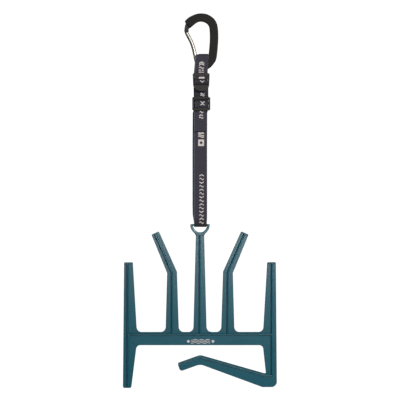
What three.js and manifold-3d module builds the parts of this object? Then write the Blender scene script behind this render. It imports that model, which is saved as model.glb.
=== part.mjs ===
// Wetsuit hanger on an adjustable webbing sling with a carabiner.
// Millimetres, +Z up, front toward -Y, origin inside the top of the carabiner, where the hanger hangs.
import * as THREE from 'three';
import { mergeVertices } from 'three/addons/utils/BufferGeometryUtils.js';
import Module from 'manifold-3d';

const wasm = await Module();
wasm.setup();

// ---- driving dimensions ----
const gap = 0.4; // running clearance between pieces

const carabinerDepth = 9;
const carabinerBevel = 1.5;
const baseTop = -64.4; // flat of the base that carries the webbing

const gateHinge = { x: -8.6, z: -70 };
const gateWidth = 7;
const gateDepth = 8;
const gateForkSlot = 3.8; // width of the slot that straddles the tang
const tangDepth = 3;
const rivetRadius = 1.4;
const tongueRadius = 66.9; // reach of the gate's tongue from the hinge
const headBlockRadius = 58; // reach of the full-depth part of the head
const tongueDepth = 2.8;
const springBore = { radius: 2.3, length: 24, x: -9.2, z: gateHinge.z + 5, lean: Math.atan2(-4.6, 22) };

const webbingWidth = 25;
const webbingThickness = 1.6;
const basketLayer = carabinerDepth / 2 + gap + webbingThickness / 2; // layer's distance from Y = 0
const flexHeight = -97.3; // where the sling bends under the carabiner
const flexRoomAbove = 2;
const flexRoomBelow = 1.8;
const twistHeight = -300; // where the sling's twist is taken
const tailEnd = -209.2;
const lowerLayer = 1.3; // layers' distance from Y = 0 along the lower sling

const lock = { x: 2.2, width: 32.4, y: -9.4, fixedBar: -108.6, middleBar: -115.8, barRadius: 1.5 };
const lockTop = -99.6;
const lockRail = 2.5;
const tabTop = -122.7;
const tabBottom = -134.2;
const tabCorner = 15; // the tab ends in nearly a half circle
const wrapRadius = lock.barRadius + 0.3 + webbingThickness / 2;

const keeper = { x: 2.4, width: 34.1, top: -144.4, bottom: -170.2, bar: 5.4, rail: 3.2 };
const keeperFront = -10;
const keeperBack = -3.6;

const plateDepth = 4; // thickness of the hanger's web
const ribDepth = 12; // full depth over the ribs
const ribWidth = 2.4;
const capWidth = 2.6; // end cap of a prong
const flangeWidth = 2.8; // flange along the top of the suit bar
const loopDepth = 10;
const crossbarTop = -590;
const crossbarBottom = -615;
const crossbarRib = -594;
const loopBar = { z: -386.8, radius: 2 };
const holeHalf = 14.8; // half the width of the loop's hole at the bar
const fillet = 9.6; // where a prong meets the crossbar
const legFillet = 8; // where a leg meets the crossbar

// ---- shape helpers ----
function solidOf(geometry) {
  const bare = geometry.clone();
  bare.deleteAttribute('normal');
  bare.deleteAttribute('uv');
  const merged = mergeVertices(bare, 1e-4);
  const vertProperties = new Float32Array(merged.attributes.position.array);
  const triVerts = new Uint32Array(merged.index.array);
  return new wasm.Manifold(new wasm.Mesh({ numProp: 3, vertProperties, triVerts }));
}

function geometryOf(solid) {
  const mesh = solid.getMesh();
  const geometry = new THREE.BufferGeometry();
  geometry.setAttribute('position', new THREE.BufferAttribute(mesh.vertProperties, 3));
  geometry.setIndex(new THREE.BufferAttribute(mesh.triVerts, 1));
  return geometry;
}

// the same outline as straight sides, without points that are doubled or lie on a straight run
function straightened(shape, curveSegments) {
  const points = shape.getPoints(curveSegments);
  const apart = points.filter((point, index) => (
    point.distanceTo(points[(index + 1) % points.length]) > 1e-3
  ));
  const turning = apart.filter((point, index) => {
    const before = apart[(index + apart.length - 1) % apart.length];
    const after = apart[(index + 1) % apart.length];
    return Math.abs(point.clone().sub(before).cross(after.clone().sub(point))) > 1e-5;
  });
  return new THREE.Shape(turning);
}

// outline in X and Z, as deep as depth along Y and centred on middleY
function frontGeometry(shape, depth, middleY = 0, bevel = 0, curveSegments = 8) {
  const geometry = new THREE.ExtrudeGeometry(straightened(shape, curveSegments), {
    depth: depth - 2 * bevel,
    bevelEnabled: bevel > 0,
    bevelThickness: bevel,
    bevelSize: bevel,
    bevelOffset: -bevel,
    bevelSegments: 2,
  });
  geometry.translate(0, 0, bevel - depth / 2);
  geometry.rotateX(Math.PI / 2);
  geometry.translate(0, middleY, 0);
  return geometry;
}

const frontSolid = (...options) => solidOf(frontGeometry(...options));

// outline in Y and Z, as wide as width along X and centred on middleX
function sideGeometry(shape, width, middleX, curveSegments = 8) {
  const outline = straightened(shape, curveSegments);
  const geometry = new THREE.ExtrudeGeometry(outline, { depth: width, bevelEnabled: false });
  const turn = new THREE.Matrix4();
  turn.makeBasis(new THREE.Vector3(0, 1, 0), new THREE.Vector3(0, 0, 1), new THREE.Vector3(1, 0, 0));
  geometry.applyMatrix4(turn);
  geometry.translate(middleX - width / 2, 0, 0);
  return geometry;
}

function boxSolid(x0, x1, y0, y1, z0, z1) {
  const geometry = new THREE.BoxGeometry(x1 - x0, y1 - y0, z1 - z0);
  geometry.translate((x0 + x1) / 2, (y0 + y1) / 2, (z0 + z1) / 2);
  return solidOf(geometry);
}

// cylinder along Y
function pinSolid(x, z, radius, length, sides = 32) {
  const geometry = new THREE.CylinderGeometry(radius, radius, length, sides);
  geometry.translate(x, 0, z);
  return solidOf(geometry);
}

// closed outline from corners [a, b, radius], each rounded by an arc of its radius
function roundedShape(corners) {
  const shape = new THREE.Shape();
  corners.forEach(([a, b, radius = 0], index) => {
    const corner = new THREE.Vector2(a, b);
    const before = corners[(index + corners.length - 1) % corners.length];
    const after = corners[(index + 1) % corners.length];
    const toBefore = new THREE.Vector2(before[0], before[1]).sub(corner).normalize();
    const toAfter = new THREE.Vector2(after[0], after[1]).sub(corner).normalize();
    const halfAngle = Math.acos(THREE.MathUtils.clamp(toBefore.dot(toAfter), -1, 1)) / 2;
    const reach = radius / Math.tan(halfAngle);
    const start = corner.clone().addScaledVector(toBefore, reach);
    if (index === 0) {
      shape.moveTo(start.x, start.y);
    } else {
      shape.lineTo(start.x, start.y);
    }
    if (radius > 0) {
      const inward = toBefore.clone().add(toAfter).normalize();
      const centre = corner.clone().addScaledVector(inward, radius / Math.sin(halfAngle));
      const end = corner.clone().addScaledVector(toAfter, reach);
      const startAngle = Math.atan2(start.y - centre.y, start.x - centre.x);
      const endAngle = Math.atan2(end.y - centre.y, end.x - centre.x);
      const clockwise = toBefore.cross(toAfter) > 0;
      shape.absarc(centre.x, centre.y, radius, startAngle, endAngle, clockwise);
    }
  });
  shape.closePath();
  return shape;
}

// outline of a band of the given thickness along a path
function bandShape(path, thickness, divisions = 6) {
  const points = path.getPoints(divisions).filter((point, index, all) => (
    index === 0 || point.distanceTo(all[index - 1]) > 1e-3
  ));
  const sides = [1, -1].map((side) => points.map((point, index) => {
    const before = points[Math.max(index - 1, 0)];
    const after = points[Math.min(index + 1, points.length - 1)];
    const along = after.clone().sub(before).normalize();
    const segment = (index === 0 ? after.clone().sub(point) : point.clone().sub(before)).normalize();
    const stretch = 1 / Math.max(along.dot(segment), 0.5);
    const offset = (side * thickness * stretch) / 2;
    return new THREE.Vector2(point.x - along.y * offset, point.y + along.x * offset);
  }));
  return new THREE.Shape([...sides[0], ...sides[1].reverse()]);
}

function pathThrough(points) {
  const path = new THREE.Path();
  path.moveTo(...points[0]);
  points.slice(1).forEach((point) => path.lineTo(...point));
  return path;
}

// ---- materials ----
const finish = (color, roughness, metalness = 0) => (
  new THREE.MeshStandardMaterial({ color, roughness, metalness })
);
const blackAluminium = finish(0x262422, 0.55, 0.3);
const blackPlastic = finish(0x2a2826, 0.5);
const polishedSteel = finish(0xd8d4d0, 0.2, 1);
const springSteel = finish(0x9a9896, 0.35, 1);
const polyesterWebbing = finish(0x3f3c49, 0.85);
const tealPlastic = finish(0x23525e, 0.45);

const group = new THREE.Group();

function addPiece(name, geometry, material) {
  const mesh = new THREE.Mesh(geometry, material.clone());
  mesh.name = name;
  group.add(mesh);
}

// ---- carabiner body ----
function carabinerOutline() {
  const shape = new THREE.Shape();
  shape.moveTo(-29.1, 0);
  shape.splineThru([
    [-20.8, 7.4], [-8.5, 13.1], [1, 14.7], [13.4, 13.1], [25.7, 5.5], [32.5, -5.9], [34.6, -22],
    [34.3, -42], [31.6, -68.6], [26.3, -80], [16.6, -89.5], [3, -94.4], [-7, -88.5], [-10.2, -77.5],
  ].map((point) => new THREE.Vector2(...point)));
  const clear = gateWidth / 2 + 0.9;
  shape.absarc(gateHinge.x, gateHinge.z, clear, -Math.PI / 2, -0.1, false);
  shape.lineTo(-3.2, baseTop - 1);
  shape.lineTo(-2.2, baseTop);
  shape.lineTo(13.4, baseTop);
  shape.quadraticCurveTo(16.3, -64.2, 16.6, -60);
  shape.splineThru([
    [17.7, -48.5], [18.6, -35], [18.5, -23], [17.6, -12], [15, -6.1], [9.1, -1.7], [1.5, 0],
    [-4.4, -1.3], [-11.2, -5.9], [-18, -12.2],
  ].map((point) => new THREE.Vector2(...point)));
  shape.lineTo(-26.4, -5.3);
  shape.closePath();
  return shape;
}

function carabinerBody() {
  const frame = frontSolid(carabinerOutline(), carabinerDepth, 0, carabinerBevel, 4);
  const slotReach = tongueRadius + gap;
  const tongueSweep = pinSolid(gateHinge.x, gateHinge.z, slotReach, tongueDepth + 2 * gap, 160);
  const noseRegion = boxSolid(-34, -3, -5, 5, -22, 1);
  const tangOutline = new THREE.Shape();
  tangOutline.absarc(gateHinge.x, gateHinge.z, 3.3, 0, Math.PI, false);
  tangOutline.lineTo(gateHinge.x - 1.2, -78);
  tangOutline.lineTo(gateHinge.x + 6, -78);
  tangOutline.closePath();
  const tang = frontSolid(tangOutline, tangDepth);
  const rivetHole = pinSolid(gateHinge.x, gateHinge.z, rivetRadius + 0.3, 12);
  return frame.subtract(tongueSweep.intersect(noseRegion)).add(tang).subtract(rivetHole);
}

// ---- gate ----
const gateLine = [[-25.2, -22.4], [-22.2, -28.2], [-18.4, -35.4], [-15.1, -42.9], [-12.6, -50.5],
  [-10.7, -58.1], [-9.3, -65.5], [gateHinge.x, gateHinge.z]];

function gateBar() {
  const curve = new THREE.SplineCurve(gateLine.map((point) => new THREE.Vector2(...point)));
  const centres = curve.getPoints(14);
  const bar = frontSolid(bandShape(pathThrough(centres.map((point) => [point.x, point.y])), gateWidth),
    gateDepth, 0, 1.2);
  const knuckle = new THREE.Shape();
  knuckle.absarc(gateHinge.x, gateHinge.z, gateWidth / 2, 0, Math.PI * 2, false);
  const slot = boxSolid(-20, 4, -gateForkSlot / 2, gateForkSlot / 2, -76, gateHinge.z + 6.5);
  const rivetHole = pinSolid(gateHinge.x, gateHinge.z, rivetRadius + 0.3, 12);
  const { radius, length, x, z, lean } = springBore;
  const bore = new THREE.CylinderGeometry(radius, radius, length, 16);
  bore.translate(0, length / 2, 0);
  bore.rotateX(Math.PI / 2);
  bore.rotateY(lean);
  bore.translate(x, 0, z);
  return bar.add(frontSolid(knuckle, gateDepth, 0, 0.6)).subtract(slot).subtract(rivetHole)
    .subtract(solidOf(bore));
}

function gateHead() {
  const blockReach = headBlockRadius;
  const fromHinge = (x) => [x, gateHinge.z + Math.sqrt(blockReach ** 2 - (x - gateHinge.x) ** 2)];
  const block = roundedShape([
    [-28.6, -23.5, 0], [-29.9, -18.2, 1.5], [...fromHinge(-29.8), 1.1], [...fromHinge(-21.7), 1.1],
    [-21.4, -18.8, 1], [-22.3, -20.2, 0],
  ].reverse());
  const tongueTop = (x) => [x, gateHinge.z + Math.sqrt(tongueRadius ** 2 - (x - gateHinge.x) ** 2)];
  const tongue = roundedShape([
    [-29, -19, 0.5], [-29.7, -14.4, 2], [-28.6, -8.6, 2], [...tongueTop(-27.8), 0.4],
    [...tongueTop(-22.6), 4], [...tongueTop(-17.4), 0.5], [-18.4, -12, 2], [-21.4, -14, 1],
    [-22, -19, 0.5],
  ].reverse());
  return frontSolid(block, gateDepth, 0, 0.5).add(frontSolid(tongue, tongueDepth));
}

// coil of wire along the bore, flat at neither end
class CoilCurve extends THREE.Curve {
  getPoint(t) {
    const turns = 7;
    const angle = t * turns * Math.PI * 2;
    return new THREE.Vector3(1.5 * Math.cos(angle), 1.5 * Math.sin(angle), 2.2 + t * 13);
  }
}

function gateSpring() {
  const wire = new THREE.Shape();
  wire.absarc(0, 0, 0.3, 0, Math.PI * 2, false);
  return new THREE.ExtrudeGeometry(wire, { steps: 84, extrudePath: new CoilCurve(), curveSegments: 3 });
}

function gatePlunger() {
  const profile = [[0, 0], [0.9, 0.3], [1.5, 0.9], [1.5, 1.8], [0, 1.8]];
  const geometry = new THREE.LatheGeometry(profile.map((point) => new THREE.Vector2(...point)), 16);
  geometry.rotateX(Math.PI / 2);
  return geometry;
}

// ---- webbing ----
// the sling leans: its middle moves from this X at each height
const leanTable = [[-60, 4.6], [-75, 3.4], [-98, 1.8], [-106, 2.5], [-140, 2.6], [-172, 1.2],
  [-386, 0.8], [-400, 0.8]];

function leanAt(z) {
  const next = Math.max(1, leanTable.findIndex(([height]) => height <= z));
  const [highZ, highX] = leanTable[next - 1];
  const [lowZ, lowX] = leanTable[next];
  return THREE.MathUtils.mapLinear(z, highZ, lowZ, highX, lowX);
}

function webbing(path, shift = 0, width = webbingWidth) {
  const geometry = sideGeometry(bandShape(path, webbingThickness), width, 0);
  const position = geometry.attributes.position;
  for (let index = 0; index < position.count; index += 1) {
    position.setX(index, position.getX(index) + leanAt(position.getZ(index)) + shift);
  }
  return geometry;
}

function basketLoop() {
  const path = new THREE.Path();
  const corner = 3;
  const top = baseTop + 0.9 + webbingThickness / 2;
  path.moveTo(-basketLayer, flexHeight + flexRoomAbove);
  path.lineTo(-basketLayer, top - corner);
  path.absarc(corner - basketLayer, top - corner, corner, Math.PI, Math.PI / 2, true);
  path.absarc(basketLayer - corner, top - corner, corner, Math.PI / 2, 0, true);
  path.lineTo(basketLayer, flexHeight + flexRoomAbove);
  const inside = carabinerDepth / 2 + 0.1;
  const gateRoom = boxSolid(-14, -3.2, -inside, inside, -70, -58);
  const spineRoom = boxSolid(14.2, 20, -inside, inside, -70, -58);
  return geometryOf(solidOf(webbing(path)).subtract(gateRoom).subtract(spineRoom));
}

function lockLoop() {
  const path = new THREE.Path();
  const top = lock.fixedBar + wrapRadius;
  path.moveTo(-basketLayer, flexHeight - flexRoomBelow);
  path.lineTo(-basketLayer, top + wrapRadius);
  path.absarc(-basketLayer - wrapRadius, top + wrapRadius, wrapRadius, 0, -Math.PI / 2, true);
  path.absarc(lock.y, lock.fixedBar, wrapRadius, Math.PI / 2, Math.PI * 1.5, false);
  path.absarc(-6.4, lock.fixedBar, wrapRadius, -Math.PI / 2, 0, false);
  path.lineTo(-6.4 + wrapRadius, lockTop - 1);
  return path;
}

// over the middle bar, with the ends pointing down to the sling and to the tail
function lockFold() {
  const path = new THREE.Path();
  path.moveTo(-5.8, -118);
  path.lineTo(lock.y + wrapRadius * Math.cos(0.36), lock.middleBar + wrapRadius * Math.sin(0.36));
  path.absarc(lock.y, lock.middleBar, wrapRadius, 0.36, Math.PI * 1.16, false);
  path.lineTo(-9.9, -120.3);
  return path;
}

const backRun = pathThrough([[basketLayer, flexHeight - flexRoomBelow], [basketLayer, -104],
  [lowerLayer, -150], [lowerLayer, twistHeight + gap / 2]]);
const frontRun = pathThrough([[-5.35, -119.2], [-2.4, -127], [-2.4, -215], [-lowerLayer, -240],
  [-lowerLayer, twistHeight + gap / 2]]);
const tail = pathThrough([[-9.6, -120.9], [-6.3, -127], [-6.3, tailEnd]]);

function loopAroundBar() {
  const path = new THREE.Path();
  const around = loopBar.radius + 0.3 + webbingThickness / 2;
  path.moveTo(-lowerLayer, twistHeight - gap / 2);
  path.lineTo(-lowerLayer, -368);
  path.lineTo(-around, loopBar.z + 2);
  path.absarc(0, loopBar.z, around, Math.PI, Math.PI * 2, false);
  path.lineTo(around, loopBar.z + 2);
  path.lineTo(lowerLayer, -368);
  path.lineTo(lowerLayer, twistHeight - gap / 2);
  return path;
}

// ---- ladder lock ----
function barAcross(y, z, radius, width, middleX) {
  const outline = new THREE.Shape();
  outline.absarc(y, z, radius, 0, Math.PI * 2, false);
  return solidOf(sideGeometry(outline, width, middleX, 8));
}

function ladderLock() {
  const railOutline = roundedShape([
    [-12.4, lockTop, 1.2], [-12.4, -127, 1], [-10, -127, 1], [-7.4, -119, 2], [-7.4, -106, 2],
    [-9.4, lockTop, 1.2],
  ]);
  const rails = solidOf(sideGeometry(railOutline, lock.width, lock.x, 3));
  const between = boxSolid(lock.x - lock.width / 2 + lockRail, lock.x + lock.width / 2 - lockRail,
    -20, 0, -140, -90);
  const topOutline = roundedShape([
    [-12.4, lockTop, 1.2], [-12.4, -105.8, 0.5], [-10.2, -104.9, 0.5], [-10.2, lockTop, 0.5],
  ]);
  const topBar = solidOf(sideGeometry(topOutline, lock.width - 1, lock.x, 3));
  const tabOutline = roundedShape([
    [-12.6, tabTop, 0.8], [-15, tabBottom, 1.2], [-12.4, tabBottom, 1.2], [-10.2, tabTop, 0.6],
  ]);
  const tab = solidOf(sideGeometry(tabOutline, lock.width - 1, lock.x, 3));
  const half = lock.width / 2;
  const front = roundedShape([
    [lock.x - half, lockTop, 3.6], [lock.x - half + 1, tabBottom, tabCorner],
    [lock.x + half - 1, tabBottom, tabCorner], [lock.x + half, lockTop, 3.6],
  ]);
  const bars = barAcross(lock.y, lock.fixedBar, lock.barRadius, lock.width - 2, lock.x)
    .add(barAcross(lock.y, lock.middleBar, lock.barRadius, lock.width - 2, lock.x));
  return rails.subtract(between).add(topBar).add(tab).add(bars).intersect(frontSolid(front, 30, 0, 0, 4));
}

// ---- sliding keeper ----
function strapKeeper() {
  const half = keeper.width / 2;
  const corner = 3.2;
  const outline = roundedShape([
    [keeper.x - half, keeper.top, corner], [keeper.x - half, keeper.bottom, corner],
    [keeper.x + half, keeper.bottom, corner], [keeper.x + half, keeper.top, corner],
  ]);
  const depth = keeperBack - keeperFront;
  const block = frontSolid(outline, depth, (keeperFront + keeperBack) / 2, 0.8, 3);
  const left = keeper.x - half + keeper.rail;
  const right = keeper.x + half - keeper.rail;
  const frontWindow = boxSolid(left, right, -12, -7.5, keeper.bottom + keeper.bar + 0.4,
    keeper.top - keeper.bar + 0.4);
  const tailWay = boxSolid(left, right, -7.5, -5.1, -180, -130);
  const backWindow = boxSolid(left, right, -5.2, 0, -154, -130)
    .add(boxSolid(left, right, -5.2, 0, -180, -158.4));
  return block.subtract(frontWindow).subtract(tailWay).subtract(backWindow);
}

// ---- hanger moulding ----
const mirror = (corners) => corners.map(([x, z, radius]) => [-x, z, radius]).reverse();

// left side of the loop for the webbing, from the neck up
const loopSide = [[-7.9, -406.4, 0.4], [-14, -400, 6], [-18.4, -391, 8], [-18.4, -384.8, 3]];

function hangerOutline() {
  const leftProngs = [
    [-144.1, -457.4, 2.2], [-127.7, -457.4, 2.2], [-120, crossbarTop, fillet],
    [-65.4, crossbarTop, fillet], [-62.4, -478, 5], [-92.3, -405, 2.2], [-78.3, -398.6, 2.2],
    [-43.8, -475.6, 6], [-40.1, crossbarTop, fillet], [-12.7, crossbarTop, fillet], ...loopSide,
  ];
  const rightLegAndSuitBar = [
    [146, -694.6, 10.4], [118.4, -694.6, 8], [0.5, -651.3, 20], [-37.6, -664.8, 5], [-42.6, -650, 3],
    [0, -634.9, 16], [125.4, -670.4, 2.5], [119.4, crossbarBottom, legFillet],
  ];
  const leftLeg = [[-120.4, crossbarBottom, legFillet], [-130.6, -696.2, 3], [-146.4, -696.2, 3]];
  return roundedShape([...leftProngs, ...mirror(leftProngs), ...rightLegAndSuitBar, ...leftLeg]);
}

function hangerLoopHole() {
  const hole = new THREE.Shape();
  hole.moveTo(-holeHalf, loopBar.z - loopBar.radius);
  hole.bezierCurveTo(-12.5, -394.5, -7.5, -401, 0, -401);
  hole.bezierCurveTo(7.5, -401, 12.5, -394.5, holeHalf, loopBar.z - loopBar.radius);
  hole.closePath();
  return hole;
}

function ribAlong(points, width = ribWidth) {
  return frontSolid(bandShape(pathThrough(points), width), ribDepth);
}

function hangerBody() {
  let body = frontSolid(hangerOutline(), plateDepth, 0, 0, 4);
  const bothSides = (points) => [points, points.map(([x, z]) => [-x, z])];
  const ribs = [
    ...bothSides([[-136.6, -458.6], [-136.6, crossbarRib]]),
    ...bothSides([[-85, -403], [-53.1, -476.8], [-52.8, crossbarRib]]),
    [[0, -406], [0, crossbarRib]],
    [[-136.6, crossbarRib], [136.6, crossbarRib]],
    [[-136.6, crossbarRib], [-136.6, -695.6]],
    [[136.6, crossbarRib], [136.6, -672]],
  ];
  const endCaps = bothSides([[-142, -458.8], [-129.8, -458.8]])
    .concat(bothSides([[-90.5, -405.6], [-79.5, -400.6]]));
  const suitBarFlange = [[137.6, -671.8], [121, -670.9], [4, -637.6], [-4, -637.8], [-40.8, -651]];
  ribs.forEach((points) => {
    body = body.add(ribAlong(points));
  });
  endCaps.forEach((points) => {
    body = body.add(ribAlong(points, capWidth));
  });
  body = body.add(ribAlong(suitBarFlange, flangeWidth));
  const loopRing = frontSolid(roundedShape([...loopSide, ...mirror(loopSide)]), loopDepth, 0, 0, 4);
  const hole = frontSolid(hangerLoopHole(), 20, 0, 0, 6);
  const strapRoom = boxSolid(-holeHalf, holeHalf, -10, 10, loopBar.z - 2, -380);
  const bar = barAcross(0, loopBar.z, loopBar.radius, 31, 0);
  return body.add(loopRing).subtract(hole).subtract(strapRoom).add(bar);
}

// ---- the object ----
addPiece('carabiner_body', geometryOf(carabinerBody()), blackAluminium);
addPiece('gate_bar', geometryOf(gateBar()), polishedSteel);
addPiece('gate_head', geometryOf(gateHead()), blackPlastic);
addPiece('gate_rivet', geometryOf(pinSolid(gateHinge.x, gateHinge.z, rivetRadius, 8.6, 24)), polishedSteel);
const boreAxis = new THREE.Group();
boreAxis.position.set(springBore.x, 0, springBore.z);
boreAxis.rotation.y = springBore.lean;
group.add(boreAxis);
addPiece('gate_spring', gateSpring(), springSteel);
addPiece('gate_plunger', gatePlunger(), springSteel);
boreAxis.add(group.getObjectByName('gate_spring'), group.getObjectByName('gate_plunger'));

addPiece('webbing_basket_loop', basketLoop(), polyesterWebbing);
addPiece('webbing_lock_loop', webbing(lockLoop()), polyesterWebbing);
addPiece('webbing_lock_fold', webbing(lockFold()), polyesterWebbing);
addPiece('webbing_tail', webbing(tail), polyesterWebbing);
addPiece('webbing_front_run', webbing(frontRun), polyesterWebbing);
addPiece('webbing_back_run', webbing(backRun), polyesterWebbing);
addPiece('webbing_lower_loop', webbing(loopAroundBar()), polyesterWebbing);

addPiece('ladder_lock', geometryOf(ladderLock()), blackPlastic);
addPiece('strap_keeper', geometryOf(strapKeeper()), blackPlastic);
addPiece('hanger_body', geometryOf(hangerBody()), tealPlastic);

export default group;
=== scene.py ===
import bpy
import numpy as np
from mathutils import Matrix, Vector


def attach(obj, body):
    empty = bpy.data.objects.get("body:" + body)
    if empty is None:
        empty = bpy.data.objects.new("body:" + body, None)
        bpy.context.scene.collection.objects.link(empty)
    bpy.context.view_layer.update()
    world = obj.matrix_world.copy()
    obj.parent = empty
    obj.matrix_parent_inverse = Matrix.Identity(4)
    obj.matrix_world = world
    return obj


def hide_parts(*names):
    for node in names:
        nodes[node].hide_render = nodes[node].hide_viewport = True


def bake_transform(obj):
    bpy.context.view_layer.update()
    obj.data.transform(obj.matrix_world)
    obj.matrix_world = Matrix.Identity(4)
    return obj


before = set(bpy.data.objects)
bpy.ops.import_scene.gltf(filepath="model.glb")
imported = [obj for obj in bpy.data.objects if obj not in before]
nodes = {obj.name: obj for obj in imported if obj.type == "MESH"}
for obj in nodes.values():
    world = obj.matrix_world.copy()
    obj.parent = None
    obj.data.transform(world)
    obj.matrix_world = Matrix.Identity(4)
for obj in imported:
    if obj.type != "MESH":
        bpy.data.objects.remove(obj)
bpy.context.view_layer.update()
mm = 0.001
print("frame loaded:", len(nodes), "nodes")

# ---- camera, light and floor ----
cameraSetup = {"lens": 85, "sensor": 36, "away": 1.7944, "height": -0.3393}
lampSetup = {
    # name: [place, aimed at, width, height, watts]
    "keyLamp": [(0.85, -1.6, 0.35), (0, 0, -0.36), 0.2, 0.2, 41],
    "skyPanel": [(0.1, -0.9, 0.6), (0, 0, -0.45), 1.0, 0.5, 1.2],
    "sheenPanel": [(0.07, -1.86, -0.38), (0.03, 0, -0.42), 0.75, 0.22, 5.6],
    "gatePanel": [(-0.16, -1.9, 0.28), (-0.02, 0, -0.04), 0.14, 0.5, 0.16],
    "lowFill": [(-1.6, -1.0, -0.5), (0, 0, -0.4), 1.0, 1.4, 1.0],
    "backLamp": [(-0.5, 2.1, 0.4), (0, 0, -0.4), 1.4, 1.4, 12],
    "floorLamp": [(0, 0, -0.95), (0, 0, -1.4), 3.4, 3.4, 24],
}
floorSetup = {"size": 3.4, "height": -1.4}
roomSetup = {"seen": 1.05, "light": 0.03}


def aimed(thing, place, target):
    thing.location = place
    way = Vector(target) - Vector(place)
    thing.rotation_euler = way.to_track_quat("-Z", "Y").to_euler()


def setCamera(setup):
    camera = bpy.data.objects.new("camera", bpy.data.cameras.new("camera"))
    bpy.context.scene.collection.objects.link(camera)
    camera.data.lens = setup["lens"]
    camera.data.sensor_width = setup["sensor"]
    camera.data.clip_end = 50
    aimed(camera, (0, -setup["away"], setup["height"]), (0, 0, setup["height"]))
    bpy.context.scene.camera = camera


def setLamps(setup):
    for name, (place, target, width, height, watts) in setup.items():
        lamp = bpy.data.lights.new(name, "AREA")
        lamp.shape = "RECTANGLE"
        lamp.size, lamp.size_y, lamp.energy = width, height, watts
        holder = bpy.data.objects.new(name, lamp)
        bpy.context.scene.collection.objects.link(holder)
        aimed(holder, place, target)


# an sRGB hex colour as linear red, green, blue and 1
def linearColour(hexColour):
    share = np.array([int(hexColour[i:i + 2], 16) / 255 for i in (1, 3, 5)])
    flat = np.where(share <= 0.04045, share / 12.92, ((share + 0.055) / 1.055) ** 2.4)
    return (*flat.tolist(), 1.0)


# adds a node: inputs takes numbers, colours or the sockets to link from
def addNode(tree, kind, inputs=None, **settings):
    node = tree.nodes.new(kind)
    for setting, value in settings.items():
        setattr(node, setting, value)
    for socket, value in (inputs or {}).items():
        if isinstance(value, bpy.types.NodeSocket):
            tree.links.new(value, node.inputs[socket])
        else:
            node.inputs[socket].default_value = value
    return node


# white where the camera looks past the object, a dimmer grey room for everything the light does
def setRoom(setup):
    world = bpy.data.worlds.new("paleRoom")
    bpy.context.scene.world = world
    world.use_nodes = True
    tree = world.node_tree
    tree.nodes.clear()
    seen = addNode(tree, "ShaderNodeBackground", {
        "Color": (1, 1, 1, 1), "Strength": setup["seen"]})
    room = addNode(tree, "ShaderNodeBackground", {
        "Color": (1, 1, 1, 1), "Strength": setup["light"]})
    path = addNode(tree, "ShaderNodeLightPath")
    both = addNode(tree, "ShaderNodeMixShader", {
        0: path.outputs["Is Camera Ray"], 1: room.outputs[0], 2: seen.outputs[0]})
    addNode(tree, "ShaderNodeOutputWorld", {"Surface": both.outputs[0]})


setCamera(cameraSetup)
setLamps(lampSetup)
setRoom(roomSetup)
bpy.context.scene.view_settings.view_transform = "Standard"
print("camera, lamps and room set")


# ---- materials ----
def startMaterial(name, sockets):
    material = bpy.data.materials.new(name)
    material.use_nodes = True
    tree = material.node_tree
    shader = tree.nodes["Principled BSDF"]
    for socket, value in sockets.items():
        shader.inputs[socket].default_value = value
    return material, tree, shader


# fine relief from noise: size is the grain in millimetres, depth how high it stands
def grainRelief(tree, shader, size, depth, detail=2.0):
    place = addNode(tree, "ShaderNodeTexCoord")
    grain = addNode(tree, "ShaderNodeTexNoise", {
        "Vector": place.outputs["Object"], "Scale": 1 / (size * mm), "Detail": detail})
    relief = addNode(tree, "ShaderNodeBump", {
        "Height": grain.outputs["Fac"], "Strength": 0.6, "Distance": depth * mm})
    tree.links.new(relief.outputs["Normal"], shader.inputs["Normal"])
    return place, grain


# slow colour change between two shades over patches of the given size in millimetres
def shadePatches(tree, shader, place, dark, light, size):
    patch = addNode(tree, "ShaderNodeTexNoise", {
        "Vector": place.outputs["Object"], "Scale": 1 / (size * mm), "Detail": 3.0})
    shade = addNode(tree, "ShaderNodeMix", {
        0: patch.outputs["Fac"], 6: linearColour(dark), 7: linearColour(light)}, data_type="RGBA")
    tree.links.new(shade.outputs[2], shader.inputs["Base Color"])
    return shade


# polypropylene moulded against a spark-eroded steel tool: an even satin skin with a fine grain,
# a little glossier where the flow was slow
def tealPolypropylene():
    material, tree, shader = startMaterial("tealPolypropyleneMoulded", {
        "Roughness": 0.29, "IOR": 1.49, "Specular IOR Level": 0.5})
    place, _ = grainRelief(tree, shader, 2.4, 0.006)
    shadePatches(tree, shader, place, "#0e434f", "#124a57", 45)
    flow = addNode(tree, "ShaderNodeTexNoise", {
        "Vector": place.outputs["Object"], "Scale": 1 / (30 * mm), "Detail": 2.0})
    satin = addNode(tree, "ShaderNodeMapRange", {
        "Value": flow.outputs["Fac"], "To Min": 0.27, "To Max": 0.31})
    tree.links.new(satin.outputs[0], shader.inputs["Roughness"])
    return material


# nylon 66 buckles: nearly black, moulded with a light texture that scatters the highlight
def blackNylon():
    material, tree, shader = startMaterial("blackNylonMoulded", {
        "Roughness": 0.42, "IOR": 1.53, "Specular IOR Level": 0.22})
    place, _ = grainRelief(tree, shader, 0.8, 0.06)
    shadePatches(tree, shader, place, "#1a1817", "#252321", 14)
    return material


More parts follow.
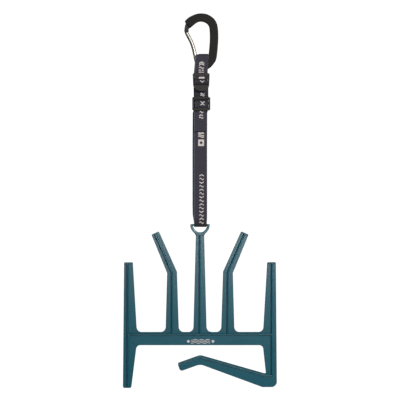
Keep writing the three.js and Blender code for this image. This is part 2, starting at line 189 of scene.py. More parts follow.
# forged aluminium, bead blasted and hard anodised black: matt, with rubbed edges a shade lighter;
# the dyed oxide hides the metal, so the surface isn't metallic
def blackAnodised():
    material, tree, shader = startMaterial("blackAnodisedAluminiumBlasted", {
        "Roughness": 0.55, "Specular IOR Level": 0.12})
    place, _ = grainRelief(tree, shader, 0.7, 0.08, 4.0)
    shade = shadePatches(tree, shader, place, "#100e0c", "#161412", 10)
    bend = addNode(tree, "ShaderNodeNewGeometry")
    edge = addNode(tree, "ShaderNodeMapRange", {
        "Value": bend.outputs["Pointiness"], "From Min": 0.53, "From Max": 0.62})
    wearAndPaintedShade = addNode(tree, "ShaderNodeMix", {
        0: edge.outputs[0], 6: shade.outputs[2], 7: linearColour("#2b2826")}, data_type="RGBA")
    tree.links.new(wearAndPaintedShade.outputs[2], shader.inputs["Base Color"])
    return material


# stainless steel bar, polished and handled: a metal shine that smears have dulled to satin
def polishedStainless():
    material, tree, shader = startMaterial("stainlessSteelPolished", {
        "Base Color": linearColour("#8f8a82"), "Metallic": 1.0, "Roughness": 0.42})
    place = addNode(tree, "ShaderNodeTexCoord")
    smear = addNode(tree, "ShaderNodeTexNoise", {
        "Vector": place.outputs["Object"], "Scale": 1 / (4 * mm), "Detail": 3.0})
    satin = addNode(tree, "ShaderNodeMapRange", {
        "Value": smear.outputs["Fac"], "To Min": 0.38, "To Max": 0.46})
    tree.links.new(satin.outputs[0], shader.inputs["Roughness"])
    return material


# patented spring wire, drawn and oiled: grey with a soft shine
def springWire():
    material, tree, shader = startMaterial("springSteelDrawn", {
        "Base Color": linearColour("#8f8c88"), "Metallic": 1.0, "Roughness": 0.34})
    grainRelief(tree, shader, 0.3, 0.01)
    return material


# polyester webbing in a 2/2 twill: the UV map is in millimetres, u along the strap and v across it;
# real twill lines are 0.8 mm apart, drawn 1.6 mm apart so that they show
def wovenPolyester():
    material, tree, shader = startMaterial("polyesterWebbingWoven", {
        "Roughness": 0.86, "IOR": 1.45, "Sheen Weight": 0.25, "Sheen Roughness": 0.45,
        "Specular IOR Level": 0.3})
    strap = addNode(tree, "ShaderNodeUVMap", uv_map="strap")
    twill = addNode(tree, "ShaderNodeMapping", {
        "Vector": strap.outputs[0], "Rotation": (0, 0, 0.95)})
    ridges = addNode(tree, "ShaderNodeTexWave", {
        "Vector": twill.outputs[0], "Scale": 0.196, "Distortion": 0.5, "Detail": 1.0,
        "Detail Scale": 2.0}, bands_direction="X")
    threads = addNode(tree, "ShaderNodeTexWave", {
        "Vector": strap.outputs[0], "Scale": 0.34, "Distortion": 0.6}, bands_direction="Y")
    cloth = addNode(tree, "ShaderNodeMath", {
        0: ridges.outputs["Fac"], 1: threads.outputs["Fac"]}, operation="ADD")
    relief = addNode(tree, "ShaderNodeBump", {
        "Height": cloth.outputs[0], "Strength": 0.7, "Distance": 0.16 * mm})
    tree.links.new(relief.outputs["Normal"], shader.inputs["Normal"])
    yarn = addNode(tree, "ShaderNodeTexNoise", {
        "Vector": strap.outputs[0], "Scale": 0.35, "Detail": 4.0, "Roughness": 0.7})
    dyed = addNode(tree, "ShaderNodeMix", {
        0: yarn.outputs["Fac"], 6: linearColour("#28252e"),
        7: linearColour("#35323c")}, data_type="RGBA")
    # painted shade: the twill's valleys are darkened towards #1d1b22
    valleyShade = addNode(tree, "ShaderNodeMapRange", {
        "Value": ridges.outputs["Fac"], "To Min": 0.30, "To Max": 0.0})
    woven = addNode(tree, "ShaderNodeMix", {
        0: valleyShade.outputs[0], 6: dyed.outputs[2], 7: linearColour("#1d1b22")}, data_type="RGBA")
    across = addNode(tree, "ShaderNodeSeparateXYZ", {0: strap.outputs[0]})
    # painted highlight: the left selvedge is lightened towards a bluish grey, #55606d, as if light
    # caught the band's edge
    edgeHighlight = addNode(tree, "ShaderNodeMapRange", {
        "Value": across.outputs["Y"], "From Min": -10.9, "From Max": -11.8, "To Max": 0.75})
    highlighted = addNode(tree, "ShaderNodeMix", {
        0: edgeHighlight.outputs[0], 6: woven.outputs[2], 7: linearColour("#55606d")}, data_type="RGBA")
    # painted shade: where the painted shade mask is high, the band's colour is darkened towards #0d0c10
    paintedShadeAmount = addNode(tree, "ShaderNodeAttribute", attribute_name="paintedShadeMask")
    shadowed = addNode(tree, "ShaderNodeMix", {
        0: paintedShadeAmount.outputs["Fac"], 6: highlighted.outputs[2], 7: linearColour("#0d0c10")}, data_type="RGBA")
    ink = addNode(tree, "ShaderNodeAttribute", attribute_name="inkMask")
    cover = addNode(tree, "ShaderNodeMath", {
        0: ink.outputs["Fac"], 1: 0.92}, operation="MULTIPLY")
    printed = addNode(tree, "ShaderNodeMix", {
        0: cover.outputs[0], 6: shadowed.outputs[2], 7: linearColour("#bab2ae")}, data_type="RGBA")
    tree.links.new(printed.outputs[2], shader.inputs["Base Color"])
    return material


# pad-printed epoxy ink: a thin, flat, warm grey film
def greyInk():
    material, tree, shader = startMaterial("padPrintInk", {"Roughness": 0.6})
    place, _ = grainRelief(tree, shader, 0.5, 0.01)
    shadePatches(tree, shader, place, "#a29a9a", "#b8aeae", 3)
    return material


# painted board below the hanger, almost white
def paleBoard():
    material, tree, shader = startMaterial("boardPainted", {"Roughness": 0.8})
    place, _ = grainRelief(tree, shader, 6, 0.1)
    shadePatches(tree, shader, place, "#f2f1ef", "#f7f6f5", 300)
    return material


finishes = {
    "teal": tealPolypropylene(), "nylon": blackNylon(), "anodised": blackAnodised(),
    "steel": polishedStainless(), "wire": springWire(), "webbing": wovenPolyester(),
    "ink": greyInk(), "board": paleBoard(),
}
print("materials made:", len(finishes))


# ---- surfaces ----
# a step between two faces steeper than this, in radians, stays an edge
sharpAngle = {"plain": 0.7, "carved": 0.6}


# a shell is a dict of points in millimetres, four-sided faces and end faces
def signedVolume(points, quads, ends):
    corners = [quads[:, [0, 1, 2]], quads[:, [0, 2, 3]]]
    corners += [np.stack([np.full(len(e) - 2, e[0]), e[1:-1], e[2:]], 1) for e in ends]
    a, b, c = np.moveaxis(points[np.concatenate(corners)], 1, 0)
    return np.einsum("ij,ij->i", a, np.cross(b, c)).sum() / 6


# small faces shade smoothly up to the sharp angle, the wide end faces and all that face straight
# forward or back stay flat
def smoothFaces(mesh, sharp):
    mesh.set_sharp_from_angle(angle=sharp)
    sides = np.zeros(len(mesh.polygons), np.int32)
    normals = np.zeros(len(mesh.polygons) * 3, np.float32)
    mesh.polygons.foreach_get("loop_total", sides)
    mesh.polygons.foreach_get("normal", normals)
    mesh.polygons.foreach_set("use_smooth", (sides < 9) & (np.abs(normals[1::3]) < 0.9999))


# puts shells into one mesh, each turned so that its faces point outwards
def makePiece(name, shells, finish, body=None, replaced=()):
    points, faces, extra, start = [], [], {}, 0
    for shell in shells:
        turn = signedVolume(shell["points"], shell["quads"], shell["ends"]) < 0
        step = -1 if turn else 1
        points.append(shell["points"])
        faces += (shell["quads"][:, ::step] + start).tolist()
        faces += [(end[::step] + start).tolist() for end in shell["ends"]]
        for key in shell.get("extra", {}):
            extra.setdefault(key, []).append(shell["extra"][key])
        start += len(shell["points"])
    mesh = bpy.data.meshes.new(name)
    mesh.from_pydata((np.concatenate(points) * mm).tolist(), [], faces)
    smoothFaces(mesh, sharpAngle["plain"])
    if "strap" in extra:
        corner = np.zeros(len(mesh.loops), np.int32)
        mesh.loops.foreach_get("vertex_index", corner)
        mesh.uv_layers.new(name="strap").data.foreach_set(
            "uv", np.concatenate(extra["strap"])[corner].astype(np.float32).ravel())
        # inkMask is print, the other mask is painted shade
        for mask in ("inkMask", "paintedShadeMask"):
            mesh.attributes.new(mask, "FLOAT", "POINT").data.foreach_set(
                "value", np.concatenate(extra[mask]).astype(np.float32))
    mesh.materials.append(finishes[finish])
    mesh.update()
    piece = bpy.data.objects.new(name, mesh)
    bpy.context.scene.collection.objects.link(piece)
    if body:
        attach(piece, body)
    if replaced:
        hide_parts(*replaced)
    return piece


# rings of points joined into a tube, with an end face on each open end
def gridShell(grid, closedPath=False):
    rings, around = grid.shape[:2]
    spans = rings if closedPath else rings - 1
    i, j = np.meshgrid(np.arange(spans), np.arange(around), indexing="ij")
    nextI, nextJ = (i + 1) % rings, (j + 1) % around
    corners = [i * around + j, i * around + nextJ, nextI * around + nextJ, nextI * around + j]
    ring = np.arange(around)
    ends = [] if closedPath else [ring[::-1], ring + (rings - 1) * around]
    return {"points": grid.reshape(-1, 3), "quads": np.stack(corners, -1).reshape(-1, 4), "ends": ends}


# a section carried along a path: point (i, j) = centre i + across i * sectionX j + deep i * sectionY j
def sweptShell(centres, across, deep, sectionX, sectionY, closedPath=False):
    return gridShell(centres[:, None, :] + across[:, None, :] * sectionX[..., None]
                     + deep[:, None, :] * sectionY[..., None], closedPath)


# unit direction of a line at each of its points
def headings(line):
    way = np.gradient(line, axis=0)
    return way / np.linalg.norm(way, axis=1, keepdims=True)


# squared circle: x = sign(cos a) |cos a| ^ power, y the same with sin a; power 1 is a circle
def squaredCircle(power, steps=20):
    angle = (np.arange(steps) + 0.5) * 2 * np.pi / steps
    c, s = np.cos(angle), np.sin(angle)
    return np.sign(c) * np.abs(c) ** power, np.sign(s) * np.abs(s) ** power


# rounds both ends of a swept bar: extra rings shrink as cos a while they move on by reach * sin a
def roundedBar(centres, across, deep, reach, power=0.6, sectionSteps=20, endSteps=4):
    centres, across, deep = (np.asarray(a, float) for a in (centres, across, deep))
    across = np.broadcast_to(across, centres.shape)
    deep = np.broadcast_to(deep, centres.shape)
    angle = np.linspace(0, 1.35, endSteps + 1)[1:]
    first = centres[0] - centres[1]
    last = centres[-1] - centres[-2]
    first, last = first / np.linalg.norm(first), last / np.linalg.norm(last)
    shrink, onward = np.cos(angle)[:, None], (reach * np.sin(angle))[:, None]
    centres = np.concatenate([
        (centres[0] + first * onward)[::-1], centres, centres[-1] + last * onward])
    across = np.concatenate([(across[0] * shrink)[::-1], across, across[-1] * shrink])
    deep = np.concatenate([(deep[0] * shrink)[::-1], deep, deep[-1] * shrink])
    return sweptShell(centres, across, deep, *squaredCircle(power, sectionSteps))


# a flat outline given thickness: ring k is the outline moved in by edge * (1 - cos a)
# and lies edge * (1 - sin a) behind the face, then the same in reverse for the other face
def plateShell(outline, front, back, edge, steps=4, side=False):
    outline = np.asarray(outline, float)
    onward = np.roll(outline, -1, 0) - outline
    onward /= np.linalg.norm(onward, axis=1, keepdims=True)
    along = onward + np.roll(onward, 1, 0)
    along /= np.linalg.norm(along, axis=1, keepdims=True)
    stretch = 1 / np.clip((along * onward).sum(1), 0.6, 1)
    x, z = outline.T
    turn = np.sign((x * np.roll(z, -1) - np.roll(x, -1) * z).sum())
    inward = np.stack([-along[:, 1], along[:, 0]], 1) * (turn * stretch)[:, None]
    angle = np.linspace(np.pi / 2, 0, steps + 1)
    inset = edge * (1 - np.cos(angle))
    behind = edge * (1 - np.sin(angle))
    inset = np.concatenate([inset, inset[::-1]])
    depth = np.concatenate([front + behind, back - behind[::-1]])
    flat = outline[None] + inward[None] * inset[:, None, None]
    level = np.broadcast_to(depth[:, None], flat.shape[:2])
    order = [level, flat[..., 0], flat[..., 1]] if side else [flat[..., 0], level, flat[..., 1]]
    return gridShell(np.stack(order, -1))


# a profile of radius and depth turned about an axis along Y through (x, z)
def turnedShell(profile, x, z, sides=32):
    radius, depth = np.asarray(profile, float).T
    angle = np.arange(sides) * 2 * np.pi / sides
    return gridShell(np.stack([x + radius[:, None] * np.cos(angle), np.repeat(depth[:, None], sides, 1),
                               z + radius[:, None] * np.sin(angle)], -1))


# corners [a, b, radius] joined by straight runs, each corner an arc that touches both its runs
def roundedOutline(corners, arcSteps=7):
    points = []
    for index, (a, b, radius) in enumerate(corners):
        corner = np.array([a, b], float)
        before = np.array(corners[index - 1][:2], float) - corner
        after = np.array(corners[(index + 1) % len(corners)][:2], float) - corner
        before, after = before / np.linalg.norm(before), after / np.linalg.norm(after)
        if radius == 0:
            points.append(corner[None])
            continue
        half = np.arccos(np.clip(before @ after, -1, 1)) / 2
        inward = (before + after) / np.linalg.norm(before + after)
        centre = corner + inward * radius / np.sin(half)
        start, end = corner + before * radius / np.tan(half), corner + after * radius / np.tan(half)
        first, last = (np.arctan2(*(p - centre)[::-1]) for p in (start, end))
        swing = (last - first + np.pi) % (2 * np.pi) - np.pi
        angle = first + swing * np.linspace(0, 1, arcSteps + 1)
        points.append(centre + radius * np.stack([np.cos(angle), np.sin(angle)], 1))
    return np.concatenate(points)


# smooth line through the points: on each span a cubic whose slope at a point is half the step
# between its two neighbours
def smoothLine(points, perSpan=6):
    points = np.asarray(points, float)
    ends = np.concatenate([points[:1], points, points[-1:]])
    p0, p1, p2, p3 = (ends[k:len(ends) - 3 + k, None, :] for k in range(4))
    t = (np.arange(perSpan) / perSpan)[None, :, None]
    line = 0.5 * (2 * p1 + (p2 - p0) * t + (2 * p0 - 5 * p1 + 4 * p2 - p3) * t ** 2
                  + (3 * p1 - p0 - 3 * p2 + p3) * t ** 3)
    return np.concatenate([line.reshape(-1, points.shape[1]), points[-1:]])


# the same line with points the given distance apart
def evenly(line, spacing, closed=False):
    if closed:
        line = np.concatenate([line, line[:1]])
    step = np.linalg.norm(np.diff(line, axis=0), axis=1)
    reach = np.concatenate([[0], np.cumsum(step)])
    count = max(2, int(round(reach[-1] / spacing)) + 1)
    at = np.linspace(0, reach[-1], count)
    even = np.stack([np.interp(at, reach, column) for column in line.T], 1)
    return (even[:-1] if closed else even), at


# arc in the plane of the line, angles in turns of pi
def arcLine(a, b, radius, fromAngle, toAngle, steps=16):
    angle = np.linspace(fromAngle, toAngle, steps) * np.pi
    return np.stack([a + radius * np.cos(angle), b + radius * np.sin(angle)], 1)


# moves every shell point by a function of its place
def shifted(shell, move):
    shell["points"] = move(shell["points"])
    return shell


# takes the cutters' solids away from a piece
def carved(piece, cutters):
    for cutter in cutters:
        cut = piece.modifiers.new("cut", "BOOLEAN")
        cut.operation, cut.solver, cut.object = "DIFFERENCE", "EXACT", cutter
    graph = bpy.context.evaluated_depsgraph_get()
    mesh = bpy.data.meshes.new_from_object(piece.evaluated_get(graph))
    piece.modifiers.clear()
    piece.data = mesh
    for cutter in cutters:
        bpy.data.objects.remove(cutter)
    smoothFaces(mesh, sharpAngle["carved"])


# ---- carabiner ----
carabiner = {
    "depth": 9.0, "edge": 1.5, "baseTop": -64.4, "hinge": (-8.6, -70.0), "noseReach": 67.3,
    "noseSlot": 1.8, "hingeRoom": 4.4,
    "outside": [(-29.1, 0), (-20.8, 7.4), (-8.5, 13.1), (1, 14.7), (13.4, 13.1), (25.7, 5.5),
                (32.5, -5.9), (34.6, -22), (34.3, -42), (31.6, -68.6), (26.3, -80), (16.6, -89.5),
                (3, -94.4), (-7, -88.5), (-10.2, -77.5)],
    "inside": [(16.6, -60), (17.7, -48.5), (18.6, -35), (18.5, -23), (17.6, -12), (15, -6.1),
               (9.1, -1.7), (1.5, 0), (-4.4, -1.3), (-11.4, -6.0), (-18.5, -12.3)],
}


def carabinerOutline(setup):
    x, z = setup["hinge"]
    shoulder = arcLine(x, z, setup["hingeRoom"], -0.5, -0.03, 8)
    base = [(-3.2, setup["baseTop"] - 1), (-2.0, setup["baseTop"]), (13.4, setup["baseTop"]),
            (15.4, setup["baseTop"] + 0.5), (16.3, setup["baseTop"] + 1.9)]
    rough = np.concatenate([smoothLine(setup["outside"], 8), shoulder, base,
                            smoothLine(setup["inside"], 8), [(-26.4, -5.3)]])
    even, _ = evenly(rough, 0.9, closed=True)
    for _ in range(2):  # eases the corners: each point moves towards the middle of its neighbours
        even = even * 0.5 + (np.roll(even, 1, 0) + np.roll(even, -1, 0)) * 0.25
    return even


def makeCarabiner(setup):
    half = setup["depth"] / 2
    x, z = setup["hinge"]
    frameShell = plateShell(carabinerOutline(setup), -half, half, setup["edge"], 5)
    tang = plateShell(np.concatenate([arcLine(x, z, 3.3, 0, 1, 12), [(x - 1.2, -78), (x + 6, -78)]]),
                      -1.5, 1.5, 0.3, 2)
    body = makePiece("carabinerBody", [frameShell], "anodised")
    sweep = np.concatenate([arcLine(x, z, setup["noseReach"], 0.45, 0.66, 24), [(x - 6, z + 40)]])
    slot = makePiece("noseCutter", [plateShell(sweep, -setup["noseSlot"], setup["noseSlot"], 0.2, 1)],
                     "anodised")
    carved(body, [slot])
    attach(body, "carabiner")
    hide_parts("carabiner_body")
    makePiece("hingeTang", [tang], "anodised", "carabiner")


makeCarabiner(carabiner)
print("carabiner body made")


# ---- gate ----
gate = {
    "line": [(-25.2, -22.4), (-22.2, -28.2), (-18.4, -35.4), (-15.1, -42.9), (-12.6, -50.5),
             (-10.7, -58.1), (-9.3, -65.5), (-8.6, -70.0)],
    "halfWidth": 3.5, "halfDepth": 4.0, "fork": 1.9, "tongueHalf": 1.4,
    "block": [(-28.3, -23.7, 0.4), (-29.9, -18.2, 1.5), (-29.7, -16.0, 1.3), (-27.0, -14.6, 1.2),
              (-22.6, -13.8, 1.2), (-21.3, -18.6, 1.2), (-22.5, -20.5, 0.4)],
    "tongue": [(-29, -19, 0.5), (-29.7, -14.4, 2), (-28.6, -8.6, 2), (-27.8, -5.9, 0.4),
               (-22.6, -4.6, 4), (-17.4, -3.7, 0.5), (-18.4, -12, 2), (-21.4, -14, 1), (-22, -19, 0.5)],
    "rivet": [(0.02, -4.75), (0.8, -4.68), (1.5, -4.5), (1.95, -4.25), (2.1, -4.0), (1.35, -3.9),
              (1.35, 3.9), (2.1, 4.0), (1.95, 4.25), (1.5, 4.5), (0.8, 4.68), (0.02, 4.75)],
}


def makeGate(setup):
    line, _ = evenly(smoothLine(setup["line"], 8), 1.2)
    way = headings(line)
    flat = np.zeros(len(line))
    centres = np.stack([line[:, 0], flat, line[:, 1]], 1)
    across = np.stack([-way[:, 1], flat, way[:, 0]], 1) * setup["halfWidth"]
    deep = np.array([0, setup["halfDepth"], 0]) + across * 0
    barShell = sweptShell(centres, across, deep, *squaredCircle(0.85, 40))
    x, z = setup["line"][-1]
    knuckle = plateShell(arcLine(x, z, setup["halfWidth"], 0, 2, 41)[:-1], -setup["halfDepth"],
                         setup["halfDepth"], 1.2, 5)
    bar = makePiece("gateBar", [barShell], "steel")
    eye = makePiece("gateEye", [knuckle], "steel")
    cutters = []
    for number in (1, 2):  # the fork that straddles the tang
        block = plateShell([(-20, -78), (4, -78), (4, z + 6.5), (-20, z + 6.5)], -setup["fork"],
                           setup["fork"], 0.1, 1)
        cutters.append(makePiece("forkCutter%d" % number, [block], "steel"))
    carved(bar, cutters[:1])
    carved(eye, cutters[1:])
    for piece in (bar, eye):
        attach(piece, "gate")
    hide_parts("gate_bar")
    head = [plateShell(roundedOutline(setup["block"]), -setup["halfDepth"], setup["halfDepth"], 0.8),
            plateShell(roundedOutline(setup["tongue"]), -setup["tongueHalf"], setup["tongueHalf"], 0.4)]
    makePiece("gateHead", head, "nylon", "gate", ["gate_head"])
    makePiece("hingeRivet", [turnedShell(setup["rivet"], x, z)], "steel",
              "carabiner", ["gate_rivet"])


makeGate(gate)
for name in ("gate_spring", "gate_plunger"):
    nodes[name].data.materials.clear()
    nodes[name].data.materials.append(finishes["wire"])
print("gate made")


# ---- webbing ----
webbing = {
    "width": 25.0, "thickness": 1.6, "spacing": 0.7, "frontSteps": 46, "backSteps": 18,
    "lean": [(-60, 4.8), (-75, 3.5), (-90, 2.4), (-99, 1.9), (-105, 3.1), (-140, 3.4),
             (-148, 3.6), (-166, 3.5), (-174, 1.2), (-250, 1.0), (-330, 1.1), (-380, 1.0), (-400, 0.8)],
    "backShift": [(-60, 0.0), (-80, -0.8), (-100, -1.2), (-127, -3.0), (-172, -2.6), (-240, -2.9),
                  (-350, -2.9), (-366, -2.6), (-376, -1.2), (-384, -0.4), (-392, -0.3)],
    # the next table gives, by height, the amount of painted shade that darkens the band where it turns
    # on the carabiner's base, in the buckles and on the loop
    "wearAndPaintedShade": [(-64.2, 0.8), (-66.2, 0.0), (-99, 0.0), (-104.4, 0.9), (-106.2, 0.3), (-110.4, 0.4),
               (-111.2, 0.95), (-113.4, 0.95), (-114.6, 0.3), (-118.5, 0.55), (-120.5, 0.9),
               (-124, 0.9), (-136, 0.45), (-142, 0.5), (-146, 0.8), (-150, 0.95), (-152.6, 0.4),
               (-155, 0.15), (-162, 0.15), (-164.4, 0.7), (-171, 0.4),
               (-176, 0.0), (-372, 0.0), (-386, 0.75)],
    "bar": (-9.4, -108.6), "middleBar": (-9.4, -115.8), "wrap": 2.6, "loopBar": -386.8,
    "loopWrap": 3.1, "joinHeight": -215.0, "hiddenJoin": -134.0, "tailEnd": -209.2,
}


# a value read off a table of (height, value) pairs
def readOff(table, height):
    heights, values = np.array(table[::-1]).T
    return np.interp(height, heights, values)


# band section: flat front, a half-round selvedge, flat back, the other selvedge
def bandSection(setup):
    half, thick = setup["width"] / 2, setup["thickness"] / 2
    flat = half - 0.8
    turn = np.linspace(0.15, 0.85, 5) * np.pi
    front = np.linspace(-flat, flat, setup["frontSteps"])
    back = np.linspace(flat, -flat, setup["backSteps"])
    x = np.concatenate([front, flat + 0.8 * np.sin(turn), back, -flat - 0.8 * np.sin(turn)])
    y = np.concatenate([
        front * 0 - thick, -thick * np.cos(turn), back * 0 + thick, thick * np.cos(turn)])
    return x, y


# webbing along a route of (y, z): the middle leans sideways with height, the route's right-hand
# side is the front of the band, and squeeze gives each place's share of the full width
def strapShell(route, setup, sideways, squeeze, marks):
    line, reach = evenly(np.asarray(route, float), setup["spacing"])
    for _ in range(3):  # cloth takes no sharp corner, so each inner point eases towards its neighbours
        line[1:-1] = line[1:-1] * 0.5 + (line[:-2] + line[2:]) * 0.25
    way = headings(line)
    flat = np.zeros(len(line))
    centres = np.stack([sideways(line), line[:, 0], line[:, 1]], 1)
    across = np.stack([flat + 1, flat, flat], 1)
    deep = np.stack([flat, -way[:, 1], way[:, 0]], 1)
    sectionX, sectionY = bandSection(setup)
    share, offset = squeeze(line)
    shell = sweptShell(centres, across, deep, sectionX[None] * share[:, None] + offset[:, None],
                       sectionY[None] + np.zeros((len(line), 1)))
    place = shell["points"].reshape(len(line), len(sectionX), 3)
    strap = np.stack([np.repeat(reach[:, None], len(sectionX), 1),
                      np.repeat(sectionX[None], len(line), 0)], -1)
    shows = (deep[:, 1, None] > 0.25) & (sectionY[None] < 0)  # faces forward and is the front side
    ink = np.where(shows, inkAmount(place[..., 0] - centres[:, None, 0], place[..., 2], marks), 0)
    # painted shade for each ring of the band, read off by height
    paintedShadeAmount = np.repeat(paintedShadeByHeight(line)[:, None], len(sectionX), 1)
    shell["extra"] = {"strap": strap.reshape(-1, 2), "inkMask": ink.ravel(), "paintedShadeMask": paintedShadeAmount.ravel()}
    return shell


lineHalf = {"chevron": 0.95, "caret": 0.95, "wave": 0.9}  # half the thickness of a figure's line


# how inked each place is: every mark covers from its top to its bottom and from left to right;
# a bar is solid, a chevron is a band about a line that rises away from the middle, a caret about
# one that falls, a wave is a band about a sine, a hollow is a solid with a diamond left out
def inkAmount(x, z, marks):
    ink = np.zeros(np.broadcast(x, z).shape)
    for kind, top, bottom, left, right in marks:
        middle, centre = (left + right) / 2, (top + bottom) / 2
        halfX, halfZ = (right - left) / 2, (top - bottom) / 2
        inside = np.minimum(halfX - np.abs(x - middle), halfZ - np.abs(z - centre))
        if kind in ("chevron", "caret"):
            rise = np.abs(x - middle) / halfX * halfZ - halfZ / 2
            rise *= 1 if kind == "chevron" else -1
            inside = np.minimum(inside, lineHalf[kind] - np.abs(z - centre - rise))
        if kind == "wave":
            swell = np.sin((x - left) / (right - left) * 2 * np.pi) * halfZ * 0.55
            inside = np.minimum(inside, lineHalf[kind] - np.abs(z - centre - swell))
        if kind == "hollow":
            diamond = np.abs(x - middle) / (halfX * 0.6) + np.abs(z - centre) / (halfZ * 0.6)
            inside = np.minimum(inside, (diamond - 1) * 2)
        ink = np.maximum(ink, np.clip(inside / 0.5 + 0.5, 0, 1))
    return ink


# plain repeated figures down the strap, one every pitch
def figureColumn(kinds, top, pitch, tall, left, right, count):
    return [(kinds[k % len(kinds)], top - k * pitch, top - k * pitch - tall, left, right)
            for k in range(count)]


inkMarks = {
    "upper": [("caret", -76.6, -82.0, -4.6, 5.0), ("caret", -80.0, -85.4, -4.6, 5.0),
              ("wave", -87.0, -90.6, -4.8, 5.0), ("bar", -92.6, -94.2, -4.6, -0.6),
              ("bar", -92.6, -94.2, 1.2, 5.0), ("bar", -96.4, -98.0, -4.6, 5.0),
              ("bar", -107.0, -110.2, -5.2, 5.4)],
    "fold": [("chevron", -112.4, -118.6, -2.6, 4.8), ("wave", -136.6, -140.4, -2.4, 5.0),
             ("wave", -139.6, -143.2, -2.4, 5.0), ("chevron", -151.6, -157.0, -2.4, 5.0),
             ("caret", -156.0, -160.6, -2.4, 5.0), ("wave", -171.0, -175.0, -2.4, 5.0),
             ("caret", -176.4, -181.6, -2.8, 4.4), ("wave", -181.6, -185.4, -2.6, 4.8)],
    "lower": [("bar", -211.2, -213.6, -4.4, 6.6), ("wave", -214.4, -218.4, -4.4, 6.6),
              ("wave", -217.4, -221.4, -4.4, 6.6), ("hollow", -224.6, -236.8, -4.4, 6.6),
              *figureColumn(["caret", "wave", "chevron", "wave"], -290.0, 6.9, 5.0, -2.2, 6.0, 14)],
}


# the front of the sling stays on the leaning middle, its back layer lies a little to the left
def slingSideways(line):
    share = np.clip(line[:, 0] / 2.4 + 0.5, 0, 1)
    share = share * share * (3 - 2 * share)
    return readOff(webbing["lean"], line[:, 1]) + share * readOff(webbing["backShift"], line[:, 1])


# painted shade: the band's colour is darkened where it turns on the carabiner's base, in the buckles
# and on the loop, where shade falls
def paintedShadeByHeight(line):
    return readOff(webbing["wearAndPaintedShade"], line[:, 1])


def fullWidth(line):
    return np.ones(len(line)), np.zeros(len(line))


# over the carabiner's base the band gathers to the room between the hinge and the spine
def gatheredOnBase(line):
    near = np.clip((5.6 - np.abs(line[:, 0])) / 1.3, 0, 1) * (line[:, 1] > -75)
    near = near * near * (3 - 2 * near)
    return 1 - 0.32 * near, 2.1 * near


# inside the hanger's loop the band draws in a little, clear of the loop's sides
def gatheredOnLoop(line):
    near = np.clip((-line[:, 1] - 374) / 8, 0, 1)
    return 1 - 0.05 * near, 0 * near


def makeSling(setup):
    barY, barZ = setup["bar"]
    middleY, middleZ = setup["middleBar"]
    wrap, join = setup["wrap"], setup["joinHeight"]
    upper = np.concatenate([
        [(1.3, join), (1.3, -150), (5.7, -104), (5.7, -65.7)], arcLine(2.7, -65.7, 3.0, 0, 0.5, 8),
        arcLine(-2.7, -65.7, 3.0, 0.5, 1, 8), [(-5.7, -103.4)], arcLine(-8.3, -103.4, wrap, 0, -0.5, 8),
        arcLine(barY, barZ, wrap, 0.5, 1.5, 16), arcLine(-6.4, barZ, wrap, -0.5, 0, 8),
        [(-3.8, -100.6)]])
    fold = np.concatenate([
        [(-2.4, setup["hiddenJoin"]), (-2.4, -127), (-5.35, -119.2), (-5.8, -118)],
        arcLine(middleY, middleZ, wrap, 0.115, 1.16, 16),
        [(-9.9, -120.3), (-9.4, -121.2), (-6.3, -127), (-6.3, setup["tailEnd"])]])
    lower = np.concatenate([
        [(-2.4, setup["hiddenJoin"] - 0.2), (-2.4, -205), (-1.3, -230), (-1.3, -368), (-3.1, -384.8)],
        arcLine(0, setup["loopBar"], setup["loopWrap"], 1, 2, 16),
        [(3.1, -384.8), (1.3, -368), (1.3, join)]])
    pieces = {
        "slingUpper": (upper, gatheredOnBase, "upper",
                       ["webbing_basket_loop", "webbing_lock_loop", "webbing_back_run"]),
        "slingFoldAndTail": (fold, fullWidth, "fold", ["webbing_lock_fold", "webbing_tail"]),
        "slingLower": (lower, gatheredOnLoop, "lower", ["webbing_front_run", "webbing_lower_loop"]),
    }
    made = {}
    for name, (route, squeeze, marks, replaced) in pieces.items():
        shell = strapShell(route, setup, slingSideways, squeeze, inkMarks[marks])
        made[name] = makePiece(name, [shell], "webbing", None, replaced)
    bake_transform(made["slingUpper"])
    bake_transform(made["slingFoldAndTail"])
    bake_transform(made["slingLower"])


makeSling(webbing)
print("sling made")


# ---- buckles ----
ladderLock = {
    "x": 2.2, "half": 16.2, "top": -99.6, "rail": 2.5, "barRadius": 1.5, "foot": -122.6,
    "tabHalf": 15.1, "tabTop": -121.8, "tabDrop": 12.4, "tabLean": 0.2, "tabHinge": -122.7,
    "archDepth": (-12.4, -9.6), "tabDepth": (-12.6, -10.2), "railTaper": 25.4,
    "railSide": [(-12.2, -100.4, 1.2), (-12.2, -122.6, 1), (-10.2, -123.4, 1), (-7.4, -117, 2),
                 (-7.4, -106, 2), (-9.4, -100.4, 1.2)],
}
slideKeeper = {
    "x": 2.4, "half": 17.05, "top": -144.4, "bottom": -170.2, "bar": 5.4, "rail": 3.2,
    "back": -3.6, "sideFront": -9.8, "face": -8.75, "faceHalf": 1.25,
    "middleBar": (-154, -158.4), "middleFront": -5.1,
    "bow": [(-144.4, -1.1), (-149.6, 0.3), (-164.6, 0.3), (-170.2, -1.1)],
}


